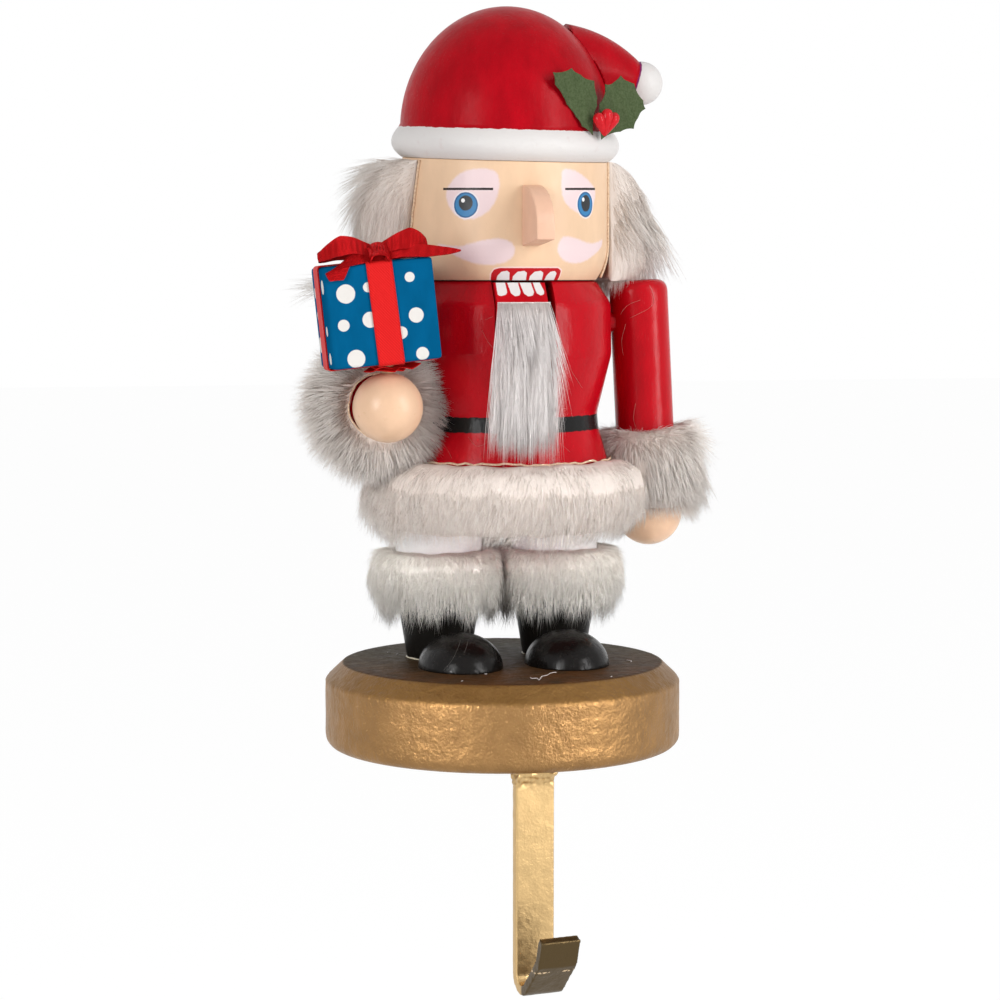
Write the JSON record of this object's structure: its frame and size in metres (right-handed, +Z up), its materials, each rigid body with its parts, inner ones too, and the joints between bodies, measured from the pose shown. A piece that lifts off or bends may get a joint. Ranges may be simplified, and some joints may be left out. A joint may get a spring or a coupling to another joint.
{
  "type": "stocking holder",
  "caption": "Mantel stocking holder: a turned wooden nutcracker figure in a fur-trimmed red coat and cap, holding a gift, on a round weighted base with a steel strap hook below.",
  "frame": {"origin": "centre of the base's flat underside", "axes": "+Z up, -Y the way the figure faces, +X towards the figure's left hand"},
  "size_m": [0.1026, 0.0997, 0.2401],
  "materials": {
    "base_paint": "gold paint over a rough sand casting",
    "hook_paint": "gold paint, semi-gloss",
    "bare_steel": "plain",
    "leg_paint": "white trousers and black boots, satin paint on turned wood",
    "boot_paint": "black satin paint",
    "fur": "white long-pile faux fur",
    "bare_wood": "unpainted dowel",
    "coat_paint": "red satin paint, with a black belt",
    "face_paint": "flesh paint with painted features",
    "cap_paint": "red gloss paint, with a white brim",
    "leaf_cloth": "stiffened grey-green cloth",
    "berry": "gloss",
    "hand_paint": "flesh satin paint on a turned ball",
    "gift_paint": "blue satin paint with white dots",
    "satin_ribbon": "red satin weave"
  },
  "bodies": {
    "holder": {"base": "base_paint", "hook_strap": "hook_paint", "foot_screws": "bare_steel", "jaw_pin": "bare_steel", "left_leg": "leg_paint", "right_leg": "leg_paint", "left_toe": "boot_paint", "right_toe": "boot_paint", "left_leg_fur": "fur", "right_leg_fur": "fur", "leg_pegs": "bare_wood", "torso": "coat_paint", "coat_fur": "fur", "head": "face_paint", "neck_pegs": "bare_wood", "nose": "face_paint", "hair": "fur", "hat": "cap_paint", "hat_peg": "bare_wood", "hat_tail": "cap_paint", "hat_tail_peg": "bare_wood", "holly_leaf_left": "leaf_cloth", "holly_leaf_right": "leaf_cloth", "holly_berries": "berry", "left_arm": "coat_paint", "left_cuff_fur": "fur", "left_hand": "hand_paint", "left_wrist_peg": "bare_wood", "right_upper_arm": "coat_paint", "right_forearm": "coat_paint", "elbow_peg": "bare_wood", "right_cuff_fur": "fur", "right_hand": "hand_paint", "right_wrist_peg": "bare_wood", "arm_pegs": "bare_wood", "gift_box": "gift_paint", "gift_ribbon": "satin_ribbon", "gift_bow": "satin_ribbon", "gift_peg": "bare_wood"},
    "jaw": {"jaw_lever": "coat_paint", "beard": "fur"}
  },
  "joints": [
    {"name": "jaw_hinge", "type": "hinge", "parent": "holder", "child": "jaw", "pos_m": [0, 0.003, 0.095], "axis": [1, 0, 0], "range_deg": [0, 8]}
  ]
}
